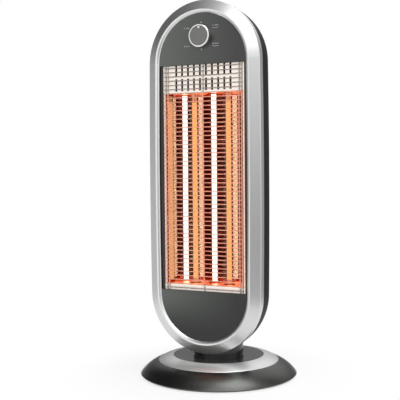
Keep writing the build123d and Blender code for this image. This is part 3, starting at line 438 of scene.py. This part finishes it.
def glow(name, darker, brighter, speck_size=0.0012, stretch=(1.0, 1.0, 1.0), spread_share=1.0):
    """A glowing surface: its own colours seen straight on, and others in mirrors and on things."""
    past_one_mirror = 1.5
    material, tree = new_material(name)
    path = tree.add("LightPath").outputs
    straight = path["Is Camera Ray"]
    mirrored = path["Is Singular Ray"]
    twice = tree.product(mirrored, tree.over(path["Glossy Depth"], past_one_mirror))
    sheen = tree.maths("SUBTRACT", path["Is Glossy Ray"], mirrored)
    own = tree.blend(tree.noise(speck_size, stretch=stretch), darker, brighter)
    tint = tree.blend(straight, scaled(spread_light, spread_share), own)
    tint = tree.blend(sheen, tint, scaled(sheen_light, spread_share))
    tint = tree.blend(mirrored, tint, mirror_light)
    tint = tree.blend(twice, tint, twice_light)
    emission = tree.add("Emission", {"Color": tint, "Strength": inside_chamber(tree)})
    ember = tree.add("BsdfPrincipled", {"Base Color": colour(0.02, 0.018, 0.017), "Roughness": 0.6})
    tree.surface(tree.add("AddShader", {0: emission.outputs[0], 1: ember.outputs[0]}))
    return material


def carbon_glow():
    return glow("carbon_glow", colour(0.80, 0.29, 0.075), colour(0.92, 0.37, 0.10))


def carbon_core_glow():
    return glow("carbon_core_glow", colour(0.97, 0.49, 0.125), colour(1.0, 0.58, 0.18))


def hot_sleeve():
    """The crimped ends of an element, red hot in streaks inside the chamber."""
    return glow(
        "hot_sleeve", colour(0.30, 0.035, 0.012), colour(0.95, 0.42, 0.22),
        speck_size=0.0011, stretch=(1.0, 1.0, 0.06), spread_share=0.5,
    )


def knob_silver():
    return fine_surface(
        "knob_chrome", colour(0.72, 0.72, 0.71), 0.22, metal=1.0, shade=0.03, depth=1.5e-6
    )


def knob_grey():
    return fine_surface("knob_grey", colour(0.16, 0.163, 0.155), 0.36, metal=0.8, shade=0.05)


def shield_steel():
    return fine_surface("shield_steel", colour(0.030, 0.028, 0.027), 0.55, metal=0.6, shade=0.15)


def dial_print():
    return fine_surface("dial_print", colour(0.62, 0.62, 0.61), 0.5, shade=0.06)


def pointer_white():
    return fine_surface("pointer_white", colour(0.80, 0.80, 0.79), 0.45, shade=0.03)


# Finishes by the name of the slot that they dress.
FINISHES = {
    "silver_paint": silver_paint,
    "panel_plastic": dark_pearl_paint,
    "base_plastic": base_paint,
    "disc_plastic": disc_plastic,
    "neck_plastic": neck_plastic,
    "casing_plastic": casing_plastic,
    "frame_plastic": frame_plastic,
    "guard_steel": guard_steel,
    "bright_metal": tinted_mirror,
    "cover_metal": cover_metal,
    "quartz": quartz,
    "carbon_glow": carbon_glow,
    "knob_chrome": knob_silver,
    "knob_grey": knob_grey,
    "pointer_white": pointer_white,
}

# Finishes that no slot names: those of the guard's rods and of new pieces.
EXTRA_FINISHES = {
    "guard_rod_steel": guard_rod_steel,
    "carbon_core_glow": carbon_core_glow,
    "hot_sleeve": hot_sleeve,
    "dial_print": dial_print,
    "shield_steel": shield_steel,
    "base_silver_paint": base_silver_paint,
}

# Plain small parts: colour, roughness, metal, size of the grain and its depth, in metres.
PLAIN_FINISHES = {
    "floor_steel": ((0.030, 0.030, 0.031), 0.42, 0.6, 0.0006, 6e-6),
    "ballast_iron": ((0.10, 0.095, 0.09), 0.62, 0.8, 0.0015, 6e-5),
    "foot_rubber": ((0.022, 0.022, 0.023), 0.72, 0.0, 0.0008, 2e-5),
    "screw_steel": ((0.55, 0.55, 0.54), 0.30, 1.0, 0.0003, 3e-6),
    "small_plastic": ((0.018, 0.018, 0.018), 0.40, 0.0, 0.0005, 6e-6),
    "washer_plastic": ((0.020, 0.020, 0.020), 0.35, 0.0, 0.0005, 4e-6),
    "motor_steel": ((0.50, 0.50, 0.48), 0.36, 1.0, 0.0005, 5e-6),
    "crank_plastic": ((0.74, 0.73, 0.69), 0.42, 0.0, 0.0005, 4e-6),
    "switch_plastic": ((0.03, 0.03, 0.032), 0.38, 0.0, 0.0004, 5e-6),
    "plated_steel": ((0.62, 0.63, 0.62), 0.30, 1.0, 0.0006, 4e-6),
    "cap_ceramic": ((0.16, 0.12, 0.09), 0.55, 0.0, 0.0007, 1.2e-5),
    "block_plastic": ((0.72, 0.71, 0.67), 0.50, 0.0, 0.0006, 6e-6),
}


def plain_finish(name):
    tint, rough, metal, grain, depth = PLAIN_FINISHES[name]
    return fine_surface(name, colour(*tint), rough, metal=metal, grain=grain, depth=depth)


def dress_nodes():
    """Gives each CAD node the finish that its slot names, and returns the finishes by name."""
    made = {}
    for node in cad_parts.values():
        for slot in node.material_slots:
            name = slot.material.name.split(".")[0]
            if name not in made:
                made[name] = FINISHES[name]() if name in FINISHES else plain_finish(name)
            slot.material = made[name]
    for name, finish in EXTRA_FINISHES.items():
        made[name] = finish()
    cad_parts["guard_rods"].material_slots[0].material = made["guard_rod_steel"]
    return made


def new_piece(name, shape, material, body, smooth=True):
    """A piece from its vertices and faces, which rides on a body."""
    verts, faces = shape
    mesh = bpy.data.meshes.new(name)
    mesh.from_pydata(verts, [], faces)
    mesh.update()
    for face in mesh.polygons:
        face.use_smooth = smooth
    mesh.materials.append(material)
    piece = bpy.data.objects.new(name, mesh)
    bpy.context.scene.collection.objects.link(piece)
    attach(piece, body)
    return piece


def joined(shapes):
    """Vertices and faces of several shapes as one."""
    verts, faces = [], []
    for shape_verts, shape_faces in shapes:
        shift = len(verts)
        verts += shape_verts
        faces += [tuple(i + shift for i in face) for face in shape_faces]
    return verts, faces


def wall(rings, sides, first=0, closed=False, flipped=False):
    """Faces between rings of points, which are numbered from first on.

    A closed wall also joins the last ring to the first, and a flipped one faces the other way.
    """
    faces = []
    for i in range(rings if closed else rings - 1):
        after = (i + 1) % rings
        for k in range(sides):
            beside = (k + 1) % sides
            quad = [i * sides + k, i * sides + beside, after * sides + beside, after * sides + k]
            if flipped:
                quad[1:] = reversed(quad[1:])
            faces.append(tuple(first + corner for corner in quad))
    return faces


def lathe(centre, outline, sides, closed=False):
    """Vertices and faces of an upright turned shape from its (radius, height) outline.

    An open outline gets a cap at each end, and a closed one goes round a ring's section.
    """
    verts = []
    for radius, z in outline:
        for k in range(sides):
            turn = 2 * pi * k / sides
            verts.append((centre[0] + radius * cos(turn), centre[1] + radius * sin(turn), z))
    faces = wall(len(outline), sides, closed=closed)
    if not closed:
        faces.append(tuple(reversed(range(sides))))
        faces.append(tuple(range(len(verts) - sides, len(verts))))
    return verts, faces


def helix_tube(centre, circle, strand, pitch, low, high):
    """Vertices and faces of a strand wound round an upright axis."""
    steps, sides = 18, 6         # along one turn, and round the strand
    count = int((high - low) / pitch * steps)
    painted_light_rise = pitch / (2 * pi)
    verts = []
    for i in range(count + 1):
        angle = 2 * pi * i / steps
        z = low + (high - low) * i / count
        out = Vector((cos(angle), sin(angle), 0))
        along = Vector((-sin(angle) * circle, cos(angle) * circle, painted_light_rise)).normalized()
        up = out.cross(along)
        spot = Vector((centre[0], centre[1], z)) + out * circle
        for k in range(sides):
            turn = 2 * pi * k / sides
            verts.append(spot + (out * cos(turn) + up * sin(turn)) * strand)
    faces = wall(count + 1, sides, flipped=True)
    faces.append(tuple(range(sides)))
    faces.append(tuple(reversed(range(count * sides, (count + 1) * sides))))
    return verts, faces


def crimped_end(centre, core_radius, inner, sleeve_end, outer):
    """The sleeve at one end of an element, with a crimped waist, and the lead that leaves it."""
    sleeve_radius, waist_radius, lead_radius = 3.9 * MM, 3.3 * MM, 0.9 * MM
    slope, half_waist, half_crimp = 1 * MM, 0.6 * MM, 1 * MM
    way = 1 if outer > inner else -1
    waist = (inner + sleeve_end) / 2
    outline = [
        (core_radius * 0.9, inner - way * slope),
        (sleeve_radius, inner),
        (sleeve_radius, waist - way * half_crimp),
        (waist_radius, waist - way * half_waist),
        (waist_radius, waist + way * half_waist),
        (sleeve_radius, waist + way * half_crimp),
        (sleeve_radius, sleeve_end),
        (lead_radius, sleeve_end + way * slope),
        (lead_radius, outer),
    ]
    if way < 0:
        outline.reverse()
    return lathe(centre, outline, sides=20)


def heating_element(side, finishes):
    """Carbon cord in its winding, with a crimped sleeve and a lead at each end."""
    core_radius, winding_circle = 3.4 * MM, 3.75 * MM
    strand_radius, pitch = 0.45 * MM, 1.9 * MM
    into_sleeve = 1 * MM
    low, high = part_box("quartz_tube_" + side)
    centre = ((low.x + high.x) / 2, (low.y + high.y) / 2)
    outline = ((core_radius, lit_low - into_sleeve), (core_radius, lit_high + into_sleeve))
    shape = lathe(centre, outline, sides=24)
    core = new_piece("carbon_cord_" + side, shape, finishes["carbon_core_glow"], "tower")
    shape = helix_tube(centre, winding_circle, strand_radius, pitch, lit_low, lit_high)
    winding = new_piece("carbon_winding_" + side, shape, finishes["carbon_glow"], "tower")
    shape = joined((
        crimped_end(centre, core_radius, lit_low, chamber_low, low.z),
        crimped_end(centre, core_radius, lit_high, chamber_high, high.z),
    ))
    ends = new_piece("element_ends_" + side, shape, finishes["hot_sleeve"], "tower")
    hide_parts("carbon_element_" + side)


def recess_depth(x, y, wing_half, wing_length, deep):
    """Depth at a point of a cross recess with sloping walls."""
    side_slope, end_slope = 0.4 * wing_half, 0.5 * wing_length
    depth = 0.0
    for across, along in ((x, y), (y, x)):
        side = min(max((wing_half - abs(across)) / side_slope, 0.0), 1.0)
        end = min(max((wing_length - abs(along)) / end_slope, 0.0), 1.0)
        depth = max(depth, deep * side * end)
    return depth


def screw_shape(head_radius, head, shank, turned):
    """Vertices and faces of a screw along Z: a domed head with a cross recess, on a shank."""
    sides, rings = 48, 14
    dome, recess = 0.16 * head_radius, 0.6 * head
    wing_half, wing_length = 0.17 * head_radius, 0.62 * head_radius
    cosine, sine = cos(turned), sin(turned)
    verts = [Vector((0, 0, head - recess))]
    for ring in range(1, rings + 1):
        radius = head_radius * ring / rings
        for k in range(sides):
            angle = 2 * pi * k / sides
            x, y = radius * cos(angle), radius * sin(angle)
            wing = recess_depth(x, y, wing_half, wing_length, recess)
            z = head - dome * (ring / rings) ** 2 - wing
            verts.append(Vector((x * cosine - y * sine, x * sine + y * cosine, z)))
    for radius, z in ((head_radius, 0), (shank_radius, 0), (shank_radius, -shank)):
        for k in range(sides):
            angle = 2 * pi * k / sides + turned
            verts.append(Vector((radius * cos(angle), radius * sin(angle), z)))
    faces = [(0, 1 + k, 1 + (k + 1) % sides) for k in range(sides)]
    faces += wall(rings + 3, sides, first=1, flipped=True)
    faces.append(tuple(reversed(range(len(verts) - sides, len(verts)))))
    return verts, faces


def loose_parts(node):
    """Corners of the box round each loose part of a node's mesh, in metres."""
    same_point = 1e-6
    mesh = bmesh.new()
    mesh.from_mesh(node.data)
    bmesh.ops.remove_doubles(mesh, verts=mesh.verts, dist=same_point)
    left = set(mesh.verts)
    boxes = []
    while left:
        group, edge = set(), [left.pop()]
        while edge:
            vert = edge.pop()
            group.add(vert)
            for link in vert.link_edges:
                other = link.other_vert(vert)
                if other in left:
                    left.remove(other)
                    edge.append(other)
        low = Vector(min(v.co[i] for v in group) for i in range(3))
        high = Vector(max(v.co[i] for v in group) for i in range(3))
        boxes.append((low, high))
    mesh.free()
    return sorted(boxes, key=lambda box: tuple(box[0]))


def cross_screws(name, body, out, head_radius, head, finishes):
    """Screws with cross recesses in place of a node's plain ones; out is where the heads face."""
    turn_step = 0.9              # radians from one screw's recess to the next
    turn = out.to_track_quat("Z", "Y")
    screws = []
    for i, (low, high) in enumerate(loose_parts(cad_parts[name])):
        reach = abs(out.dot(high - low))
        top = (low + high) / 2 + out * reach / 2
        verts, faces = screw_shape(head_radius, head, reach - head, turn_step * i)
        screws.append(([top - out * head + turn @ point for point in verts], faces))
    shape = joined(screws)
    piece = new_piece(name + "_crossed", shape, finishes["screw_steel"], body, smooth=False)
    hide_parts(name)


def shield_sheet(finishes):
    """The heat shield with pressed ribs, tall enough to darken the slots of the cover."""
    rib_pitch, rib_half, rib_depth = 24 * MM, 5 * MM, 1.2 * MM
    hem, first_rib, side_margin = 3 * MM, 12 * MM, 6 * MM
    columns = 60
    low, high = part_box("heat_shield")
    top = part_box("reflector_top_cover")[1].z
    rows = [(low.z, 0), (low.z + hem, 0)]
    z = low.z + first_rib
    while z + 2 * rib_half < top:
        rows += [(z, 0), (z + rib_half, rib_depth), (z + 2 * rib_half, 0)]
        z += rib_pitch
    rows.append((top, 0))
    verts, faces = [], []
    for z, depth in rows:
        for k in range(columns + 1):
            x = low.x + (high.x - low.x) * k / columns
            inner = min(x - low.x, high.x - x) > side_margin
            verts.append((x, low.y + (depth if inner else 0), z))
    for i in range(len(rows) - 1):
        for k in range(columns):
            a = i * (columns + 1) + k
            faces.append((a, a + 1, a + columns + 2, a + columns + 1))
    shape = (verts, faces)
    piece = new_piece("heat_shield_sheet", shape, finishes["shield_steel"], "tower", smooth=False)
    thick = piece.modifiers.new("thickness", "SOLIDIFY")
    thick.thickness = high.y - low.y
    thick.offset = -1.0
    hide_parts("heat_shield")


def crowned_base_ring(finishes):
    """The silver ring on the base, with a rounded face between its two edges."""
    width, thick, crown, edge = 23.1 * MM, 1.5 * MM, 1.4 * MM, 0.3 * MM
    steps = 20                   # across the rounded face
    margin = 0.02                # of the width, left at each edge
    sharp_angle = radians(30)
    low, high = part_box("base_trim_ring")
    outer = Vector((high.x, low.z + thick))
    inner = Vector((high.x - width, high.z))
    slope = (inner - outer).normalized()
    out = Vector((slope.y, -slope.x))
    outline = [Vector((outer.x, low.z)), Vector((outer.x, outer.y - edge))]
    for i in range(steps + 1):
        share = margin + (1 - 2 * margin) * i / steps
        outline.append(outer.lerp(inner, share) + out * crown * (1 - (2 * share - 1) ** 2))
    outline += [Vector((inner.x, inner.y - edge)), Vector((inner.x, inner.y - thick))]
    shape = lathe((0, 0), outline, sides=160, closed=True)
    piece = new_piece("base_ring_crowned", shape, finishes["base_silver_paint"], "root")
    piece.data.set_sharp_from_angle(angle=sharp_angle)
    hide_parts("base_trim_ring")


def ribbon(line, width):
    """Vertices and faces of a flat strip, facing forward, along a line of (x, z) points."""
    verts, faces = [], []
    for i, (x, z) in enumerate(line):
        before, after = line[max(i - 1, 0)], line[min(i + 1, len(line) - 1)]
        along = Vector((after[0] - before[0], 0, after[1] - before[1])).normalized()
        aside = Vector((-along.z, 0, along.x)) * width / 2
        middle = Vector((x, 0, z))
        verts += [middle - aside, middle + aside]
    for i in range(len(line) - 1):
        faces.append((2 * i, 2 * i + 2, 2 * i + 3, 2 * i + 1))
    return verts, faces


def numeral(text, x, z, tall):
    """Vertices and faces of a number, facing forward, centred on (x, z)."""
    digit_share = 0.7            # of the font's size
    data = bpy.data.curves.new("numeral", "FONT")
    data.body = text
    data.size = tall / digit_share
    data.align_x = "CENTER"
    data.align_y = "CENTER"
    data.resolution_u = 4
    letter = bpy.data.objects.new("numeral", data)
    mesh = bpy.data.meshes.new_from_object(letter)
    verts = [Vector((v.co.x + x, 0, v.co.y + z)) for v in mesh.vertices]
    faces = [tuple(face.vertices) for face in mesh.polygons]
    bpy.data.objects.remove(letter)
    bpy.data.curves.remove(data)
    bpy.data.meshes.remove(mesh)
    return verts, faces


def heat_wave(x, z, length, line_width):
    """A wavy line for heat."""
    steps, waves, swell = 36, 3, 0.45 * MM
    line = []
    for i in range(steps + 1):
        share = i / steps
        line.append((x + (share - 0.5) * length, z + swell * sin(2 * pi * waves * share)))
    return ribbon(line, line_width)


def swing_arc(x, z, length, line_width):
    """A flat arc with an arrow head at each end, for the swing."""
    steps, sag, head = 16, 0.8 * MM, 0.9 * MM
    line = []
    for i in range(steps + 1):
        share = 2 * i / steps - 1
        line.append((x + share * (length / 2 - head), z + sag * (share * share - 0.5)))
    verts, faces = ribbon(line, line_width)
    for way in (-1, 1):
        tip_x, back_x = x + way * length / 2, x + way * (length / 2 - head)
        z_end = z + sag * 0.5
        first = len(verts)
        verts += [Vector((back_x, 0, z_end - head / 2)), Vector((back_x, 0, z_end + head / 2))]
        verts.append(Vector((tip_x, 0, z_end)))
        faces.append((first, first + 2, first + 1) if way > 0 else (first, first + 1, first + 2))
    return verts, faces


def dial_marks(finishes):
    """Printed marks round the knob: 0 above and below, and two levels on each side."""
    tall, line_width, lift = 2.5 * MM, 0.32 * MM, 0.04 * MM
    zero_above, zero_below = 20.2 * MM, -19.6 * MM
    levels = (("1", 13 * MM), ("2", -13.5 * MM))     # the number, and how high over the knob
    left_number_x, left_wave_x, left_wave_length = -27.5 * MM, -22.5 * MM, 6 * MM
    right_number_x, right_wave_x, right_wave_length = 19 * MM, 24.5 * MM, 7 * MM
    wave_rise, arc_drop, arc_x, arc_length = 1.6 * MM, 1.9 * MM, 23 * MM, 10 * MM
    knob_low, knob_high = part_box("knob_rim")
    knob_z = (knob_low.z + knob_high.z) / 2
    face_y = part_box("upper_panel")[0].y - lift
    marks = [numeral("0", 0, knob_z + rise, tall) for rise in (zero_above, zero_below)]
    for text, rise in levels:
        z = knob_z + rise
        marks.append(numeral(text, left_number_x, z, tall))
        marks.append(heat_wave(left_wave_x, z, left_wave_length, line_width))
        marks.append(numeral(text, right_number_x, z + wave_rise, tall))
        marks.append(heat_wave(right_wave_x, z + wave_rise, right_wave_length, line_width))
        marks.append(swing_arc(arc_x, z - arc_drop, arc_length, line_width))
    verts, faces = joined(marks)
    shape = ([Vector((v.x, face_y, v.z)) for v in verts], faces)
    piece = new_piece("dial_marks", shape, finishes["dial_print"], "tower", smooth=False)


def studio_light(tree):
    """Brightness of the studio by direction."""
    point = tree.add("SeparateXYZ", {0: tree.add("TexCoord").outputs["Generated"]}).outputs
    ahead = tree.product(point["Y"], -1.0)
    azimuth = tree.maths("DEGREES", tree.maths("ARCTAN2", point["X"], ahead))
    elevation = tree.maths("DEGREES", tree.maths("ARCSINE", point["Z"]))
    level = studio_base
    for centre, half, edge, middle, tall, fade, bright in softboxes:
        away = tree.maths("WRAP", tree.maths("SUBTRACT", azimuth, float(centre)), 180.0, -180.0)
        away = tree.maths("ABSOLUTE", away)
        above = tree.maths("ABSOLUTE", tree.maths("SUBTRACT", elevation, float(middle)))
        across = tree.ramp(away, half + edge, half - edge)
        up = tree.ramp(above, tall + fade, tall - fade)
        level = tree.level_between(tree.product(across, up), level, bright)
    return level


def make_world():
    """The studio, with a white background for the camera and a dark room in the reflector."""
    world = bpy.data.worlds.new("studio")
    bpy.context.scene.world = world
    tree = Tree(world)
    lit = tree.add("Background", {"Color": colour(1, 1, 1), "Strength": studio_light(tree)})
    white = tree.add("Background", {"Color": colour(1, 1, 1), "Strength": 1.0})
    dark = tree.add("Background", {"Color": dark_room, "Strength": 1.0})
    path = tree.add("LightPath").outputs
    seen = tree.maths("MAXIMUM", path["Is Camera Ray"], path["Is Transmission Ray"])
    room = tree.overlay(path["Is Singular Ray"], tree.overlay(seen, lit, white), dark)
    tree.add("OutputWorld", {"Surface": room.outputs[0]})


def floor_paper():
    """Paper that fades into the white background and keeps a light shadow by the heater."""
    material, tree = new_material("floor_paper")
    spot = tree.add("VectorMath", {0: tree.place()}, operation="LENGTH").outputs["Value"]
    kept = tree.ramp(spot, shadow_start, shadow_end, shadow_share, 0.0)
    path = tree.add("LightPath").outputs
    straight = tree.product(path["Is Camera Ray"], tree.maths("SUBTRACT", 1.0, kept))
    white_share = tree.maths("MAXIMUM", straight, path["Is Glossy Ray"])
    white_share = tree.maths("MAXIMUM", white_share, path["Is Transmission Ray"])
    paper = tree.add("BsdfDiffuse", {"Color": colour(0.86, 0.86, 0.86)})
    white = tree.add("Emission", {"Color": colour(1, 1, 1), "Strength": 1.0})
    dark = tree.add("Emission", {"Color": dark_room, "Strength": 1.0})
    front = tree.overlay(path["Is Singular Ray"], tree.overlay(white_share, paper, white), dark)
    under = tree.add("BsdfTransparent")
    tree.surface(tree.overlay(tree.add("NewGeometry").outputs["Backfacing"], front, under))
    return material


def make_floor():
    """Round floor, which is clear from below."""
    mesh = bpy.data.meshes.new("floor")
    built = bmesh.new()
    bmesh.ops.create_circle(built, cap_ends=True, segments=128, radius=floor_radius)
    built.to_mesh(mesh)
    built.free()
    mesh.materials.append(floor_paper())
    floor = bpy.data.objects.new("floor", mesh)
    floor.location.z = -floor_drop
    bpy.context.scene.collection.objects.link(floor)


def make_lamps():
    """Square soft lamps, aimed at the middle of the heater."""
    for name, place, size, power in lamps:
        data = bpy.data.lights.new(name, "AREA")
        data.shape = "SQUARE"
        data.size = size
        data.energy = power
        lamp = bpy.data.objects.new(name, data)
        lamp.location = place
        lamp.rotation_euler = (lamp_aim - Vector(place)).to_track_quat("-Z", "Y").to_euler()
        bpy.context.scene.collection.objects.link(lamp)


def make_camera():
    """The camera, turned by its heading, then its pitch, then its roll."""
    heading, pitch, roll = (radians(v) for v in (camera_heading, camera_pitch, camera_roll))
    level = Vector((-sin(heading), cos(heading), 0))
    right = Vector((cos(heading), sin(heading), 0))
    upright = Vector((0, 0, 1))
    ahead = level * cos(pitch) - upright * sin(pitch)
    up = upright * cos(pitch) + level * sin(pitch)
    turned_right = right * cos(roll) - up * sin(roll)
    turned_up = up * cos(roll) + right * sin(roll)
    data = bpy.data.cameras.new("camera")
    data.sensor_width = sensor_width
    data.lens = focal_pixels * sensor_width / picture_width
    data.clip_start = 0.01
    camera = bpy.data.objects.new("camera", data)
    turn = Matrix((turned_right, turned_up, -ahead)).transposed().to_4x4()
    camera.matrix_world = Matrix.Translation(camera_place) @ turn
    bpy.context.scene.collection.objects.link(camera)
    bpy.context.scene.camera = camera


bpy.context.scene.view_settings.view_transform = "Standard"
bpy.context.scene.cycles.transparent_max_bounces = 32    # through both tubes and back
make_camera()
make_world()
make_floor()
make_lamps()
finishes = dress_nodes()
heating_element("left", finishes)
heating_element("right", finishes)
dial_marks(finishes)
shield_sheet(finishes)
crowned_base_ring(finishes)
for group in screw_groups:
    cross_screws(*group, finishes)
